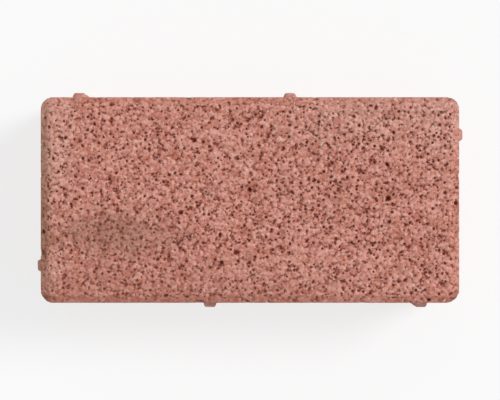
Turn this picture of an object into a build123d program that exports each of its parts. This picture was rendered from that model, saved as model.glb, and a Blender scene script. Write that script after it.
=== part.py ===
from build123d import *
import os

# Rectangular concrete paving stone with spacer nibs.
# Frame: the origin is the middle of the bed face, +X runs along the stone,
# +Y across it and +Z up to the wearing face. Lengths are in millimetres.

# Laying grid: one stone and one sand joint fill one module each way
module_length = 200.0
module_width = 100.0
joint_width = 3.0
thickness = 60.0

# Edges of the stone
corner_radius = 6.0  # upright corners, seen from above
chamfer_run = 4.0  # how far the sloping rim reaches in over the wearing face
chamfer_drop = 2.0  # how far the rim falls below the wearing face

# Spacer nibs: upright ribs that hold the joint open
nib_clearance = 0.5  # left between a crest and the next stone
nib_base_width = 8.0
nib_crest_width = 5.0
nib_crest_radius = 1.5
nib_top_depth = 7.0  # wearing face down to where a nib starts
nib_run_out = 5.0  # height over which a nib grows to its full reach
nib_root = 1.5  # depth of a nib's root inside the stone

# Places of the nibs: those of two neighbours never meet crest to crest
side_nib_shift = 31.0  # middle of a long side to the middle of its pair of nibs
end_nib_shift = 31.0  # middle of an end face to its nib

# Worked out from the sizes above
body_length = module_length - joint_width
body_width = module_width - joint_width
nib_reach = joint_width - nib_clearance
nib_pitch = module_length / 2
nib_top = thickness - nib_top_depth
nib_full_height = nib_top - nib_run_out


def nib_section(height, crest):
    """A nib's outline at this height, with its crest this far out along +Y."""
    foot = crest - nib_reach
    with BuildSketch(Plane.XY.offset(height)) as section:
        with BuildLine():
            Polyline(
                (-nib_base_width / 2, foot - nib_root),
                (-nib_base_width / 2, foot),
                (-nib_crest_width / 2, crest),
                (nib_crest_width / 2, crest),
                (nib_base_width / 2, foot),
                (nib_base_width / 2, foot - nib_root),
                close=True,
            )
        make_face()
        fillet(section.vertices().group_by(Axis.Y)[-1], radius=nib_crest_radius)
    return section.sketch


# One nib: the side face lies in the XZ plane and the nib stands out along +Y.
# Its run-out sinks back upwards until the crest is flush with the side face.
with BuildPart() as nib:
    extrude(nib_section(0, nib_reach), amount=nib_full_height)
    loft([nib_section(nib_full_height, nib_reach), nib_section(nib_top, 0)])

# Half of the nibs, each facing out from its side; a half turn gives the others
nib_places = [
    Location((-side_nib_shift - nib_pitch / 2, body_width / 2, 0)),
    Location((-side_nib_shift + nib_pitch / 2, body_width / 2, 0)),
    Location((-body_length / 2, -end_nib_shift, 0), (0, 0, 90)),
]

with BuildPart() as paving_stone:
    with BuildSketch(Plane.XY):
        RectangleRounded(body_length, body_width, corner_radius)
    extrude(amount=thickness)
    wearing_face = paving_stone.faces().sort_by(Axis.Z)[-1]
    chamfer(wearing_face.edges(), length=chamfer_run, length2=chamfer_drop, reference=wearing_face)
    with PolarLocations(0, 2):
        with Locations(*nib_places):
            add(nib.part)

os.makedirs("parts", exist_ok=True)
paving_stone.part.label = "paving_stone"
export_step(paving_stone.part, "parts/paving_stone.step")
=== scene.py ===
"""Looks of a red concrete paving stone: open-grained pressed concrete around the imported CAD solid.

Lengths are in metres, in the frame of the CAD part: the bed face is at z = 0, +X runs along
the stone and +Z points up to the wearing face.
"""

import math
import bmesh
import bpy
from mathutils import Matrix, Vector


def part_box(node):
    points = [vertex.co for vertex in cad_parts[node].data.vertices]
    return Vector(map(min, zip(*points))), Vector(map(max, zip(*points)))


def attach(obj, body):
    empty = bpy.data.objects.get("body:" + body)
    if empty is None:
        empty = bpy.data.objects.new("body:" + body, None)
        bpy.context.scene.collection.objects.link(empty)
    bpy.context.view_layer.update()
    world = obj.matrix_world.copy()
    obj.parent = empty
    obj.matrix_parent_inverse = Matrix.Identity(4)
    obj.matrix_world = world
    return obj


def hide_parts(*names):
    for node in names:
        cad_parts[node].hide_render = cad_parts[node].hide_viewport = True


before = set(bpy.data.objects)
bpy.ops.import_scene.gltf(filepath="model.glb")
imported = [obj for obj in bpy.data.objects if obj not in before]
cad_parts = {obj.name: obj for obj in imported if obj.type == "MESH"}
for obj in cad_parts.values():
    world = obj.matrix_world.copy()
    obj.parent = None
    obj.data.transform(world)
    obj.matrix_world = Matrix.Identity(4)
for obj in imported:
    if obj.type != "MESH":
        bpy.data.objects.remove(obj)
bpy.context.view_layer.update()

MM = 0.001
CLOSE = 0.05 * MM  # places nearer to each other than this are one place
SQUARE_ON = 0.9  # the least share of a face's normal that points the way it faces

# The stone, as the CAD part has it
NIB_REACH = 2.5 * MM
NIB_BASE_WIDTH = 8 * MM
NIB_CREST_WIDTH = 5 * MM
NIB_CREST_RADIUS = 1.5 * MM
NIB_TOP_DEPTH = 7 * MM
NIB_RUN_OUT = 5 * MM
NIB_ROOT = 1.5 * MM
NIB_SHIFT = 31 * MM
NIB_PITCH = 100 * MM
CORNER_RADIUS = 6 * MM
CHAMFER_RUN = 4 * MM
CHAMFER_DROP = 2 * MM

CAD_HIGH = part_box("paving_stone")[1]
HALF_LENGTH = CAD_HIGH[0] - NIB_REACH
HALF_WIDTH = CAD_HIGH[1] - NIB_REACH
THICKNESS = CAD_HIGH[2]
RIM_HEIGHT = THICKNESS - CHAMFER_DROP
NIB_TOP = THICKNESS - NIB_TOP_DEPTH
NIB_FULL_HEIGHT = NIB_TOP - NIB_RUN_OUT

# Mesh of the stone's surface, and the attribute that keeps each point's flat place
CORNER_STEPS = 10
CREST_STEPS = 4
VOXEL = 0.42 * MM
FACE_TRIANGLES = 118000
SIDE_TRIANGLES = 60000
BED_TRIANGLES = 17000
REST = "rest_position"

# Relief: how large things are, or how far apart they lie
COARSE_GRAIN = 2.0 * MM
FINE_GRAIN = 1.0 * MM
GRIT_GRAIN = 0.7 * MM
ROUGH_SIZE = 1.5 * MM
PATCH_SIZE = 6 * MM
BEND_SIZE = 1.6 * MM
BEND_SHIFT = 0.8 * MM
PIT_SPACING = 2.7 * MM
POCKET_SPACING = 6.5 * MM
SWELL_SIZE = 14 * MM
DRAG_SIZE = 1.5 * MM
STROKE_SIZE = 0.7 * MM
SMEAR_SIZE = 9 * MM
DRAG_STRETCH = 5  # how many times as tall as wide the marks on the sides are
CHIP_SIZE = 7 * MM

# Round holes: smallest and largest radius as shares of their spacing, and how rare large ones are
PIT_RADII = (0.18, 0.42)
PIT_RARITY = 1.0
POCKET_RADII = (0.001, 0.28)
POCKET_RARITY = 3.5
HOLE_FLOOR = 0.4  # radius of a hole's flat floor, as a share of its own

# Relief: how deep things lie
FACE_GAP_DEPTH = 0.65 * MM
SIDE_GAP_DEPTH = 0.5 * MM
BED_GAP_DEPTH = 0.4 * MM
FACE_POCKET_DEPTH = 0.5 * MM
FACE_HOLLOW_DEPTH = 1.0 * MM
WALL_POCKET_DEPTH = 0.4 * MM
DOME_DEPTH = 0.3 * MM
FACE_SWELL_DEPTH = 0.2 * MM
BED_SWELL_DEPTH = 0.15 * MM
DRAG_DEPTH = 0.35 * MM
BURR_DEPTH = 0.1 * MM
CHIP_DEPTH = 0.9 * MM

# Bump of the finest detail: heights in millimetres, and how strongly it shades
GRIT_BUMP = 0.18
STROKE_BUMP = 0.4
GAP_BUMP = 0.2
BUMP_STRENGTH = 0.6

# Looseness: gaps open, and grains round off, from the first to the second of these values
FACE_GAPS = (0.645, 0.90)
SIDE_GAPS = (0.46, 0.77)
BED_GAPS = (0.79, 0.94)
DOMES = (0.42, 0.85)
RIM_TIGHTENING = 0.04  # taken off it on the sloping rim
SMEAR_TIGHTENING = 0.55  # taken off it where a side is smeared most
FOOT_LOOSENING = 0.06  # added to it at the foot of a side, and taken off at the top
RIM_FLATTENING = 0.4  # share of their height that pits and grains lose on the rim

# Zones: where each starts and where it is full, by height
FACE_ZONE = (RIM_HEIGHT - 1.5 * MM, RIM_HEIGHT - 0.2 * MM)
RIM_ZONE = (THICKNESS - 0.1 * MM, THICKNESS - 0.6 * MM)
BED_ZONE = (1.2 * MM, 0.4 * MM)
FOOT_ZONE = (2.0 * MM, 0.5 * MM)

# Zones: the same by how far a place lies outside the body's four sides
SIDE_ZONE = (-3 * MM, -1 * MM)
CREST_ZONE = (1.0 * MM, 2.3 * MM)

# Wear of the rim's outer edge, by height from it: where it starts, is full, stays full and ends
CHIP_BAND = (-2.5 * MM, -0.5 * MM, 0.4 * MM, 1.6 * MM)
BURR_BAND = (-0.6 * MM, -0.1 * MM, 0.3 * MM, 0.7 * MM)
CRUMBLING = (0.57, 0.69)

# Painted shade in chips and in the pockets of the sides, as shares of the painted shade in an open
# gap, and how much of that the burr hides
CHIP_SHADE = 0.4
WALL_POCKET_SHADE = 0.45
BURR_COVER = 0.4

# Colours, as they look on a screen, from 0 to 255
PASTE_DARK = (190, 114, 95)
PASTE_LIGHT = (236, 175, 159)
SIDE_DARK = (166, 108, 94)
SIDE_LIGHT = (208, 160, 148)
# Painted shade: the dark colour that gaps, pits, chips and pockets get in place of their shadow
PAINTED_GAP_SHADE = (108, 38, 22)
DENSE_RIM = (146, 67, 49)
# Paler nib crests: rubbing wear and a painted highlight
NIB_WEAR_AND_HIGHLIGHT = (212, 178, 168)
GRIME = (150, 106, 86)
BLOOM = (238, 204, 192)
QUARTZ = (236, 202, 190)
DARK_GRIT = (128, 92, 84)

# Finish of the concrete all over
ROUGHNESS = 0.9
SHINE = 0.3

# Colouring: how large things are and how strong
CLOUD_SIZE = 28 * MM
GRIME_SIZE = 7 * MM
RAGGED_SIZE = 9 * MM
STROKE_SHARE = 0.4  # of streaks, and of scuffs and painted highlights on the nibs, beside broader patches
SIDE_DULLNESS = 0.45  # share of the smeared colour in the paste of the sides
RIM_DENSENESS = 0.2  # share of the dense colour in the paste of the rim
BLOOM_STRENGTH = 0.14
BLOOM_QUARTZ = 0.06  # share of the grains that a bloom adds to the bare quartz

# Masks: the values at which each starts and is full, and its full strength if that isn't 1
TONES = (0.1, 0.9)
STREAKS = (0.35, 0.65)
GRIME_PATCHES = (0.58, 0.74, 0.4)
CREST_SCUFFS_AND_HIGHLIGHTS = (0.44, 0.62, 0.5)
BARE_QUARTZ = (0.985, 0.993, 0.6)
BARE_GRIT = (0.03, 0.02, 0.6)
OVAL_EDGE = (1.5, 0.6)
OVAL_RAGGEDNESS = 0.9

# Dark stains and painted shade on the wearing face, and pale blooms: middle and radii of each, with a
# colour and strength for the dark ones
STAINS_AND_SHADE = (
    ((-64 * MM, -16 * MM), (44 * MM, 16 * MM), (146, 100, 84), 0.5),
    # Painted shade on the left rim, with an olive tint
    ((-98 * MM, -4 * MM), (8 * MM, 75 * MM), (118, 108, 71), 0.3),
    # Darker towards the bottom edge
    ((-50 * MM, -46 * MM), (150 * MM, 24 * MM), (158, 98, 80), 0.28),
)
PALE_BLOOMS = (
    ((-91 * MM, 23 * MM), (14 * MM, 30 * MM)),
    ((-93 * MM, -34 * MM), (9 * MM, 14 * MM)),
    ((-92 * MM, 44 * MM), (16 * MM, 12 * MM)),
    ((90 * MM, 40 * MM), (34 * MM, 26 * MM)),
    ((52 * MM, 40 * MM), (50 * MM, 24 * MM)),
)
OVAL_FADE = 20 * MM  # depth below the wearing face over which stains, painted shade and blooms fade out

# Camera and light
CAMERA_DISTANCE = 1.0
FACE_SHARE = 0.84  # of the picture's width
KEY_STRENGTH = 1.95
KEY_TILT = 44  # degrees from straight above
KEY_TURN = 24  # degrees from the picture's right towards its top
KEY_SOFTNESS = 20  # degrees across
SKY_STRENGTH = 0.42
FLOOR_SIZE = 8
FLOOR_WHITE = 0.95
FLOOR_GLOW = 0.75  # share of plain white in the floor that the camera sees


def deselect_all():
    """Leave nothing selected, so that an operator acts on the new piece alone."""
    bpy.ops.object.select_all(action="DESELECT")


def make_active(piece):
    """Select one piece and make it the one that operators act on."""
    deselect_all()
    piece.select_set(True)
    bpy.context.view_layer.objects.active = piece


def select_parts(piece, kind, wanted):
    """In edit mode, select the vertices, edges or faces that pass the test, and no others."""
    bpy.ops.mesh.select_mode(type=kind)
    bpy.ops.mesh.select_all(action="DESELECT")
    mesh = bmesh.from_edit_mesh(piece.data)
    parts = {"VERT": mesh.verts, "EDGE": mesh.edges, "FACE": mesh.faces}[kind]
    for part in parts:
        if wanted(part):
            part.select_set(True)
    bmesh.update_edit_mesh(piece.data)


def apply_modifier(piece, kind, **settings):
    """Add one modifier with these settings and apply it."""
    make_active(piece)
    modifier = piece.modifiers.new(kind.lower(), kind)
    for name, value in settings.items():
        setattr(modifier, name, value)
    bpy.ops.object.modifier_apply(modifier=modifier.name)


def add_block(name, low, high):
    """Add a cube primitive that fills the box between two corners."""
    deselect_all()
    centre = [(a + b) / 2 for a, b in zip(low, high)]
    size = [b - a for a, b in zip(low, high)]
    bpy.ops.mesh.primitive_cube_add(size=1, location=centre, scale=size)
    block = bpy.context.object
    block.name = name
    bpy.ops.object.transform_apply(location=True, rotation=True, scale=True)
    return block


def is_upright(edge):
    """Whether an edge runs along Z."""
    a, b = (vertex.co for vertex in edge.verts)
    return abs(a.x - b.x) < CLOSE and abs(a.y - b.y) < CLOSE


def make_body():
    """Round the upright corners of a block and slope its rim down from the wearing face."""
    low = (-HALF_LENGTH, -HALF_WIDTH, 0)
    high = (HALF_LENGTH, HALF_WIDTH, THICKNESS)
    body = add_block("paver", low, high)
    bpy.ops.object.mode_set(mode="EDIT")
    select_parts(body, "EDGE", is_upright)
    bpy.ops.mesh.bevel(offset=CORNER_RADIUS, segments=CORNER_STEPS, affect="EDGES")
    select_parts(body, "FACE", lambda face: face.normal.z > SQUARE_ON)
    bpy.ops.mesh.inset(thickness=CHAMFER_RUN)

    def on_outer_rim(vertex):
        past_end = abs(vertex.co.x) > HALF_LENGTH - CHAMFER_RUN + CLOSE
        past_side = abs(vertex.co.y) > HALF_WIDTH - CHAMFER_RUN + CLOSE
        return vertex.co.z > THICKNESS - CLOSE and (past_end or past_side)

    select_parts(body, "VERT", on_outer_rim)
    bpy.ops.transform.translate(value=(0, 0, -CHAMFER_DROP))
    bpy.ops.object.mode_set(mode="OBJECT")
    return body


def make_nib():
    """Shape one spacer nib, standing out along +Y from a side face in the XZ plane."""
    low = (-NIB_BASE_WIDTH / 2, -NIB_ROOT, 0)
    high = (NIB_BASE_WIDTH / 2, NIB_REACH, NIB_TOP)
    nib = add_block("nib", low, high)
    bpy.ops.object.mode_set(mode="EDIT")
    select_parts(nib, "FACE", lambda face: face.normal.y > SQUARE_ON)
    bpy.ops.transform.resize(value=(NIB_CREST_WIDTH / NIB_BASE_WIDTH, 1, 1), center_override=(0, 0, 0))

    # On a corner this blunt, a rounding starts about half its radius away
    select_parts(nib, "EDGE", lambda edge: is_upright(edge) and edge.verts[0].co.y > 0)
    bpy.ops.mesh.bevel(offset=NIB_CREST_RADIUS / 2, segments=CREST_STEPS, affect="EDGES")

    # Run-out: above a cut at the full height, the crest sinks back to the side face
    bpy.ops.mesh.select_all(action="SELECT")
    bpy.ops.mesh.bisect(plane_co=(0, 0, NIB_FULL_HEIGHT), plane_no=(0, 0, 1))
    select_parts(nib, "VERT", lambda vertex: vertex.co.z > NIB_TOP - CLOSE)
    bpy.ops.transform.translate(value=(0, -NIB_REACH, 0))
    bpy.ops.object.mode_set(mode="OBJECT")
    return nib


def place_nibs(nib):
    """Copy the nib to its six places; each has a twin half a turn round the stone."""
    places = [
        (-NIB_SHIFT - NIB_PITCH / 2, HALF_WIDTH, 0),
        (-NIB_SHIFT + NIB_PITCH / 2, HALF_WIDTH, 0),
        (-HALF_LENGTH, -NIB_SHIFT, math.pi / 2),
    ]
    nibs = []
    for x, y, turn in places:
        for side, half_turn in ((1, 0), (-1, math.pi)):
            copy = nib.copy()
            copy.data = nib.data.copy()
            copy.location = (side * x, side * y, 0)
            copy.rotation_euler = (0, 0, turn + half_turn)
            bpy.context.collection.objects.link(copy)
            nibs.append(copy)
    bpy.data.objects.remove(nib)
    return nibs


def join_all(body, others):
    """Join the other pieces into the body and leave its object at the origin."""
    make_active(body)
    for other in others:
        other.select_set(True)
    bpy.ops.object.join()
    bpy.ops.object.transform_apply(location=True, rotation=True, scale=True)


def add_node(tree, kind, inputs=None, **settings):
    """Add a node, set its properties, and set or link its named or numbered inputs."""
    node = tree.nodes.new(kind)
    for name, value in settings.items():
        setattr(node, name, value)
    for name, value in (inputs or {}).items():
        if isinstance(value, bpy.types.NodeSocket):
            tree.links.new(value, node.inputs[name])
        else:
            node.inputs[name].default_value = value
    return node


def maths(tree, operation, *values):
    """One Math node; returns its result."""
    inputs = dict(enumerate(values))
    return add_node(tree, "ShaderNodeMath", inputs, operation=operation).outputs[0]


def vector_maths(tree, operation, *values):
    """One Vector Math node; returns its result."""
    inputs = dict(enumerate(values))
    return add_node(tree, "ShaderNodeVectorMath", inputs, operation=operation).outputs[0]


def times(tree, first, second):
    """The product of two values."""
    return maths(tree, "MULTIPLY", first, second)


def weigh(tree, *terms):
    """The sum of each value times its weight."""
    total = 0.0
    for value, weight in terms:
        total = maths(tree, "MULTIPLY_ADD", value, weight, total)
    return total


def split(tree, vector):
    """The three numbers of a vector or colour."""
    return add_node(tree, "ShaderNodeSeparateXYZ", {0: vector}).outputs


def blend(tree, factor, first, second):
    """The first value where the factor is 0 and the second where it is 1."""
    return add_node(tree, "ShaderNodeMix", {0: factor, 2: first, 3: second}).outputs[0]


def blend_colour(tree, factor, first, second):
    """The first colour where the factor is 0 and the second where it is 1."""
    node = add_node(tree, "ShaderNodeMix", {0: factor, 6: first, 7: second}, data_type="RGBA")
    return node.outputs[2]


def ramp(tree, value, start, end, high=1.0):
    """A smooth step from 0 at the start to high at the end, which may be the lower of the two."""
    inputs = {"Value": value, "From Min": start, "From Max": end, "To Max": high}
    node = add_node(tree, "ShaderNodeMapRange", inputs, interpolation_type="SMOOTHSTEP")
    return node.outputs["Result"]


def band(tree, value, start, full, full_end, end):
    """1 between the two middle values, fading to 0 at the outer two."""
    return times(tree, ramp(tree, value, start, full), ramp(tree, value, end, full_end))


def noise(tree, place, size, detail=2.0, roughness=0.5, output=0):
    """Smooth noise from 0 to 1 whose waves are about this long."""
    inputs = {"Vector": place, "Scale": 1 / size, "Detail": detail, "Roughness": roughness}
    return add_node(tree, "ShaderNodeTexNoise", inputs).outputs[output]


def cells(tree, place, size):
    """Random cells about this far apart: the distance from the nearest middle, in cell sizes,
    and three random numbers for each cell."""
    node = add_node(tree, "ShaderNodeTexVoronoi", {"Vector": place, "Scale": 1 / size})
    return node.outputs["Distance"], split(tree, node.outputs["Color"])


def leave_holes(tree, place, spacing, radii, rarity):
    """Round holes about this far apart, and the same with the large ones deepest. Their radii are
    shares of the spacing, and the higher the rarity, the rarer the large ones."""
    smallest, largest = radii
    distance, random = cells(tree, place, spacing)
    chance = maths(tree, "POWER", random[0], rarity)
    radius = maths(tree, "MULTIPLY_ADD", chance, largest - smallest, smallest)
    holes = ramp(tree, distance, radius, times(tree, radius, HOLE_FLOOR))
    return holes, times(tree, holes, chance)


def bend(tree, place):
    """Shift each place a little, so that round cells and holes get ragged outlines."""
    wobble = noise(tree, place, BEND_SIZE, output="Color")
    shift = vector_maths(tree, "SUBTRACT", wobble, (0.5, 0.5, 0.5))
    return vector_maths(tree, "MULTIPLY_ADD", shift, (BEND_SHIFT, BEND_SHIFT, BEND_SHIFT), place)


def draw_upright(tree, place):
    """Places squeezed in height, so that a pattern made on them is drawn out upright."""
    return vector_maths(tree, "MULTIPLY", place, (1, 1, 1 / DRAG_STRETCH))


def lay_sand(tree, place, bent):
    """Sand grains of two sizes: how loosely they lie at each place, high between them and low
    on them, the pits left where grains fell out, and the random numbers of the coarse and of the
    fine grains."""
    coarse, coarse_random = cells(tree, bent, COARSE_GRAIN)
    fine, fine_random = cells(tree, bent, FINE_GRAIN)
    rough = noise(tree, place, ROUGH_SIZE, detail=3.0)
    patchy = noise(tree, place, PATCH_SIZE)
    looseness = weigh(tree, (coarse, 0.36), (fine, 0.16), (rough, 0.7), (patchy, 0.07))
    pits = leave_holes(tree, bent, PIT_SPACING, PIT_RADII, PIT_RARITY)[0]
    return looseness, pits, coarse_random, fine_random


def reach_out(tree, place):
    """How far a place lies outside the body's four sides, and below 0 inside them."""
    axes = split(tree, place)
    along = maths(tree, "SUBTRACT", maths(tree, "ABSOLUTE", axes["X"]), HALF_LENGTH)
    across = maths(tree, "SUBTRACT", maths(tree, "ABSOLUTE", axes["Y"]), HALF_WIDTH)
    return maths(tree, "MAXIMUM", along, across)


def wear_arrises(tree, place, height):
    """A dense burr along the outer edge of the rim, and the chips off it and off the bottom edge."""
    above_rim = maths(tree, "SUBTRACT", height, RIM_HEIGHT)
    near_rim = band(tree, above_rim, *CHIP_BAND)
    near_side = ramp(tree, reach_out(tree, place), *SIDE_ZONE)
    near_foot = times(tree, ramp(tree, height, *FOOT_ZONE), near_side)
    crumble = ramp(tree, noise(tree, place, CHIP_SIZE, detail=4.0, roughness=0.6), *CRUMBLING)
    chips = times(tree, crumble, maths(tree, "MAXIMUM", near_rim, near_foot))
    burr = maths(tree, "SUBTRACT", band(tree, above_rim, *BURR_BAND), chips)
    return maths(tree, "MAXIMUM", burr, 0.0), chips


def open_face(tree, height, looseness, pits, pockets, hollows, swell):
    """Wearing face: open grains over a gentle swell, pressed tighter on the sloping rim. Gives
    its gaps, its depth and where the rim is."""
    on_rim = ramp(tree, height, *RIM_ZONE)
    pressed = maths(tree, "MULTIPLY_ADD", on_rim, -RIM_FLATTENING, 1.0)
    tightened = maths(tree, "MULTIPLY_ADD", on_rim, -RIM_TIGHTENING, looseness)
    gaps = maths(tree, "MAXIMUM", ramp(tree, tightened, *FACE_GAPS), times(tree, pits, pressed))
    domes = times(tree, ramp(tree, looseness, *DOMES), pressed)
    depth = weigh(tree, (gaps, FACE_GAP_DEPTH), (pockets, FACE_POCKET_DEPTH),
                  (hollows, FACE_HOLLOW_DEPTH), (domes, DOME_DEPTH), (swell, FACE_SWELL_DEPTH))
    return gaps, depth, on_rim


def smear_sides(tree, place, height, looseness, pockets):
    """Sides: smeared dense with upright drag marks, and more open towards the bed. Gives their
    gaps, their depth and the smears."""
    upright = draw_upright(tree, place)
    drag = noise(tree, upright, DRAG_SIZE, detail=3.0)
    smear = noise(tree, upright, SMEAR_SIZE, detail=1.0)
    low_down = maths(tree, "MULTIPLY_ADD", height, -2 * FOOT_LOOSENING / THICKNESS, FOOT_LOOSENING)
    smeared = weigh(tree, (looseness, 1.0), (smear, -SMEAR_TIGHTENING), (low_down, 1.0))
    gaps = ramp(tree, smeared, *SIDE_GAPS)
    depth = weigh(tree, (gaps, SIDE_GAP_DEPTH), (pockets, WALL_POCKET_DEPTH), (drag, DRAG_DEPTH))
    return gaps, depth, smear


def cast_bed(tree, looseness, pockets, swell):
    """Bed: cast on a board, flat with open pores. Gives its gaps and its depth."""
    gaps = ramp(tree, looseness, *BED_GAPS)
    depth = weigh(tree, (gaps, BED_GAP_DEPTH), (pockets, WALL_POCKET_DEPTH), (swell, BED_SWELL_DEPTH))
    return gaps, depth


def build_relief(tree_type):
    """Node group for the relief: how deep each place lies and the painted shade of the gap it is in,
    the random numbers of its grains, the smears of the sides, and whether it is on the rim or the
    face."""
    group = bpy.data.node_groups.new("concrete_relief", tree_type)
    group.interface.new_socket("Position", in_out="INPUT", socket_type="NodeSocketVector")
    for name in ("Depth", "Gaps", "Fine tone", "Coarse tone", "Kind", "Streaks", "Rim", "Face"):
        group.interface.new_socket(name, in_out="OUTPUT", socket_type="NodeSocketFloat")
    place = group.nodes.new("NodeGroupInput").outputs["Position"]
    height = split(group, place)["Z"]
    face = ramp(group, height, *FACE_ZONE)
    bed = ramp(group, height, *BED_ZONE)
    bent = bend(group, place)
    looseness, pits, coarse_random, fine_random = lay_sand(group, place, bent)
    pockets, hollows = leave_holes(group, bent, POCKET_SPACING, POCKET_RADII, POCKET_RARITY)
    burr, chips = wear_arrises(group, place, height)
    swell = noise(group, place, SWELL_SIZE)
    face_gaps, face_depth, on_rim = open_face(group, height, looseness, pits, pockets, hollows, swell)
    side_gaps, side_depth, smear = smear_sides(group, place, height, looseness, pockets)
    bed_gaps, bed_depth = cast_bed(group, looseness, pockets, swell)

    depth = blend(group, face, blend(group, bed, side_depth, bed_depth), face_depth)
    depth = weigh(group, (blend(group, burr, depth, BURR_DEPTH), 1.0), (chips, CHIP_DEPTH))
    gaps = blend(group, face, blend(group, bed, side_gaps, bed_gaps), face_gaps)
    # Painted shade: chips get part of an open gap's darkness, and the burr hides some of it
    gaps = maths(group, "MAXIMUM", gaps, times(group, chips, CHIP_SHADE))
    gaps = blend(group, times(group, burr, BURR_COVER), gaps, 0.0)
    shade = blend(group, face, WALL_POCKET_SHADE, 1.0)
    add_node(group, "NodeGroupOutput", {
        "Depth": depth,
        # Pockets get painted shade too, less of it on the sides
        "Gaps": maths(group, "MAXIMUM", gaps, times(group, pockets, shade)),
        "Fine tone": fine_random[0],
        "Coarse tone": coarse_random[0],
        "Kind": fine_random[2],
        "Streaks": smear,
        "Rim": times(group, on_rim, face),
        "Face": face,
    })
    return group


def build_surfacer():
    """Geometry nodes that keep each point's flat place and press it in by the relief."""
    tree = bpy.data.node_groups.new("press_relief", "GeometryNodeTree")
    tree.interface.new_socket("Geometry", in_out="INPUT", socket_type="NodeSocketGeometry")
    tree.interface.new_socket("Geometry", in_out="OUTPUT", socket_type="NodeSocketGeometry")
    start = tree.nodes.new("NodeGroupInput")
    place = tree.nodes.new("GeometryNodeInputPosition").outputs[0]
    normal = tree.nodes.new("GeometryNodeInputNormal").outputs[0]
    kept = add_node(tree, "GeometryNodeStoreNamedAttribute",
                    {"Geometry": start.outputs[0], "Name": REST, "Value": place},
                    data_type="FLOAT_VECTOR")
    relief = add_node(tree, "GeometryNodeGroup", {"Position": place},
                      node_tree=build_relief("GeometryNodeTree"))
    inwards = times(tree, relief.outputs["Depth"], -1)
    offset = add_node(tree, "ShaderNodeVectorMath", {0: normal, "Scale": inwards}, operation="SCALE")
    moved = add_node(tree, "GeometryNodeSetPosition",
                     {"Geometry": kept.outputs["Geometry"], "Offset": offset.outputs[0]})
    add_node(tree, "NodeGroupOutput", {"Geometry": moved.outputs[0]})
    return tree


def thin_out(piece, low, high, limit):
    """Thin out the mesh between two heights to about this many triangles."""
    zone = piece.vertex_groups.new(name="zone")
    inside = [vertex.index for vertex in piece.data.vertices if low <= vertex.co.z < high]
    zone.add(inside, 1.0, "REPLACE")
    total = 2 * len(piece.data.vertices)  # a closed mesh has two triangles for each point
    ratio = 1 - (2 * len(inside) - limit) / total
    apply_modifier(piece, "DECIMATE", ratio=ratio, vertex_group=zone.name)
    piece.vertex_groups.clear()


def make_paver():
    """The whole stone: body and nibs fused, given its relief and thinned to a fair mesh."""
    body = make_body()
    join_all(body, place_nibs(make_nib()))
    apply_modifier(body, "REMESH", mode="VOXEL", voxel_size=VOXEL)
    apply_modifier(body, "NODES", node_group=build_surfacer())
    side_low = VOXEL
    side_high = RIM_HEIGHT - VOXEL
    thin_out(body, -VOXEL, side_low, BED_TRIANGLES)
    thin_out(body, side_low, side_high, SIDE_TRIANGLES)
    thin_out(body, side_high, THICKNESS + VOXEL, FACE_TRIANGLES)
    make_active(body)
    bpy.ops.object.shade_smooth()
    return body


def colour(screen):
    """A colour as it looks on a screen, as the linear colour that a shader takes."""
    linear = [((value / 255 + 0.055) / 1.055) ** 2.4 for value in screen]
    return (*linear, 1.0)


def oval_mask(tree, place, ragged, middle, radii):
    """A mask that is 1 in the middle of an oval on the wearing face and fades out raggedly."""
    offset = vector_maths(tree, "SUBTRACT", place, (*middle, THICKNESS))
    scaled = vector_maths(tree, "DIVIDE", offset, (*radii, OVAL_FADE))
    length = add_node(tree, "ShaderNodeVectorMath", {0: scaled}, operation="LENGTH")
    distance = maths(tree, "MULTIPLY_ADD", ragged, OVAL_RAGGEDNESS, length.outputs["Value"])
    return ramp(tree, distance, *OVAL_EDGE)


def break_up(tree, patches, strokes):
    """Broad patches broken up by fine upright strokes."""
    return weigh(tree, (patches, 1 - STROKE_SHARE), (strokes, STROKE_SHARE))


def mix_paste(tree, place, relief, strokes):
    """The paste's own colour: grain by grain and in slow clouds, duller and streaked on the
    sides, darker where the rim is pressed dense."""
    cloud = noise(tree, place, CLOUD_SIZE, detail=3.0)
    tone = weigh(tree, (relief["Fine tone"], 0.45), (relief["Coarse tone"], 0.35), (cloud, 0.2))
    paste = blend_colour(tree, ramp(tree, tone, *TONES), colour(PASTE_DARK), colour(PASTE_LIGHT))
    streaks = ramp(tree, break_up(tree, relief["Streaks"], strokes), *STREAKS)
    dull = blend_colour(tree, streaks, colour(SIDE_DARK), colour(SIDE_LIGHT))
    on_side = maths(tree, "MULTIPLY_ADD", relief["Face"], -SIDE_DULLNESS, SIDE_DULLNESS)
    paste = blend_colour(tree, on_side, paste, dull)
    return blend_colour(tree, times(tree, relief["Rim"], RIM_DENSENESS), paste, colour(DENSE_RIM))


def wear_and_highlight_nibs(tree, place, paste, ragged, strokes):
    """Nib crests paler in places: rubbed by stacking and transport, and a painted highlight that lifts
    them out of their shade.
    """
    scuffs_and_highlights = ramp(tree, break_up(tree, ragged, strokes), *CREST_SCUFFS_AND_HIGHLIGHTS)
    crest = ramp(tree, reach_out(tree, place), *CREST_ZONE)
    return blend_colour(tree, times(tree, crest, scuffs_and_highlights), paste, colour(NIB_WEAR_AND_HIGHLIGHT))


def soil(tree, place, paste, relief):
    """Grime on the grains of the wearing face in places."""
    grime = ramp(tree, noise(tree, place, GRIME_SIZE, detail=3.0, roughness=0.6), *GRIME_PATCHES)
    return blend_colour(tree, times(tree, grime, relief["Face"]), paste, colour(GRIME))


def bloom_mask(tree, place, ragged, relief):
    """Where the wearing face is paler: 1 in the middle of each bloom."""
    bloom = 0.0
    for middle, radii in PALE_BLOOMS:
        bloom = maths(tree, "MAXIMUM", oval_mask(tree, place, ragged, middle, radii), bloom)
    return times(tree, bloom, relief["Face"])


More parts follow.
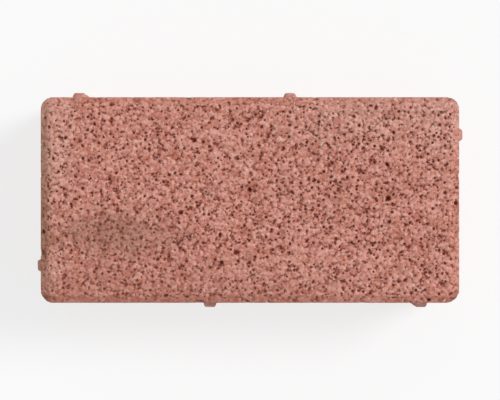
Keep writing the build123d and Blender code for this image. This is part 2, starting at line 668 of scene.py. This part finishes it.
def stain_and_shade(tree, place, surface, ragged):
    """Dark ovals that lie over grains and gaps alike: a dark stain patch, painted shade with an olive
    tint on the left rim, and a face that is darker towards the bottom edge."""
    for middle, radii, shade, strength in STAINS_AND_SHADE:
        mask = oval_mask(tree, place, ragged, middle, radii)
        surface = blend_colour(tree, times(tree, mask, strength), surface, colour(shade))
    return surface


def bare_grains(tree, paste, bloom, relief):
    """A few grains without paste on them: pale quartz, more of it in the blooms, and dark grit."""
    kind = maths(tree, "MULTIPLY_ADD", bloom, BLOOM_QUARTZ, relief["Kind"])
    paste = blend_colour(tree, ramp(tree, kind, *BARE_QUARTZ), paste, colour(QUARTZ))
    return blend_colour(tree, ramp(tree, relief["Kind"], *BARE_GRIT), paste, colour(DARK_GRIT))


def start_material(name):
    """A new material, with its node tree and its Principled shader."""
    material = bpy.data.materials.new(name)
    material.use_nodes = True
    tree = material.node_tree
    return material, tree, tree.nodes["Principled BSDF"]


def concrete_material():
    """Salmon red concrete: light worn grains, with painted shade in its gaps and pits."""
    material, tree, shader = start_material("red_concrete")
    place = add_node(tree, "ShaderNodeAttribute", attribute_name=REST).outputs["Vector"]
    relief = add_node(tree, "ShaderNodeGroup", {"Position": place},
                      node_tree=build_relief("ShaderNodeTree")).outputs
    ragged = noise(tree, place, RAGGED_SIZE, detail=4.0, roughness=0.65)
    strokes = noise(tree, draw_upright(tree, place), STROKE_SIZE, detail=3.0, roughness=0.6)
    paste = mix_paste(tree, place, relief, strokes)
    # Painted highlight and rubbing wear on the nib crests
    paste = wear_and_highlight_nibs(tree, place, paste, ragged, strokes)
    paste = soil(tree, place, paste, relief)
    bloom = bloom_mask(tree, place, ragged, relief)
    paste = blend_colour(tree, times(tree, bloom, BLOOM_STRENGTH), paste, colour(BLOOM))
    paste = bare_grains(tree, paste, bloom, relief)
    # Painted shade in the gaps, pits, chips and pockets
    surface = blend_colour(tree, relief["Gaps"], paste, colour(PAINTED_GAP_SHADE))
    # Dark stains, and painted shade on the left rim, over grains and gaps alike
    surface = stain_and_shade(tree, place, surface, ragged)
    tree.links.new(surface, shader.inputs["Base Color"])
    shader.inputs["Roughness"].default_value = ROUGHNESS
    shader.inputs["Specular IOR Level"].default_value = SHINE
    grit = noise(tree, place, GRIT_GRAIN, detail=4.0, roughness=0.6)
    off_face = maths(tree, "SUBTRACT", 1.0, relief["Face"])
    height = weigh(tree, (grit, GRIT_BUMP), (relief["Gaps"], -GAP_BUMP),
                   (times(tree, strokes, off_face), STROKE_BUMP))
    bump = {"Height": height, "Distance": 1 * MM, "Strength": BUMP_STRENGTH}
    normal = add_node(tree, "ShaderNodeBump", bump).outputs[0]
    tree.links.new(normal, shader.inputs["Normal"])
    return material


def make_floor():
    """A white floor that keeps a light shadow: the camera sees it mixed with plain white."""
    deselect_all()
    bpy.ops.mesh.primitive_plane_add(size=FLOOR_SIZE)
    floor = bpy.context.object
    floor.name = "floor"
    material, tree, shader = start_material("white_floor")
    shader.inputs["Base Color"].default_value = (FLOOR_WHITE, FLOOR_WHITE, FLOOR_WHITE, 1)
    shader.inputs["Roughness"].default_value = 1.0
    shader.inputs["Specular IOR Level"].default_value = 0.0
    white = add_node(tree, "ShaderNodeEmission", {"Color": (1, 1, 1, 1), "Strength": 1.0})
    seen = tree.nodes.new("ShaderNodeLightPath").outputs["Is Camera Ray"]
    mix = add_node(tree, "ShaderNodeMixShader",
                   {0: times(tree, seen, FLOOR_GLOW), 1: shader.outputs[0], 2: white.outputs[0]})
    tree.links.new(mix.outputs[0], tree.nodes["Material Output"].inputs["Surface"])
    floor.data.materials.append(material)


def add_to_scene(name, data):
    """Put a lamp or a camera into the scene; returns its object."""
    holder = bpy.data.objects.new(name, data)
    bpy.context.collection.objects.link(holder)
    return holder


def light_scene():
    """Soft light from the right and a little from the top of the picture, and a white sky."""
    sun = bpy.data.lights.new("key", "SUN")
    sun.energy = KEY_STRENGTH
    sun.angle = math.radians(KEY_SOFTNESS)
    lamp = add_to_scene("key", sun)
    lamp.rotation_euler = (0, math.radians(KEY_TILT), math.radians(KEY_TURN))
    world = bpy.data.worlds.new("studio")
    bpy.context.scene.world = world
    world.use_nodes = True
    tree = world.node_tree
    sky = tree.nodes["Background"]
    seen = tree.nodes.new("ShaderNodeLightPath").outputs["Is Camera Ray"]
    sky.inputs["Color"].default_value = (1, 1, 1, 1)
    tree.links.new(blend(tree, seen, SKY_STRENGTH, 1.0), sky.inputs["Strength"])


def place_camera():
    """Look straight down on the wearing face from far above."""
    camera = bpy.data.cameras.new("camera")
    camera.lens = camera.sensor_width * CAMERA_DISTANCE * FACE_SHARE / (2 * HALF_LENGTH)
    holder = add_to_scene("camera", camera)
    holder.location = (0, 0, THICKNESS + CAMERA_DISTANCE)
    bpy.context.scene.camera = holder


place_camera()
light_scene()
make_floor()
paver = make_paver()
paver.data.materials.append(concrete_material())
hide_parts("paving_stone")
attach(paver, "root")

bpy.context.scene.view_settings.view_transform = "Standard"
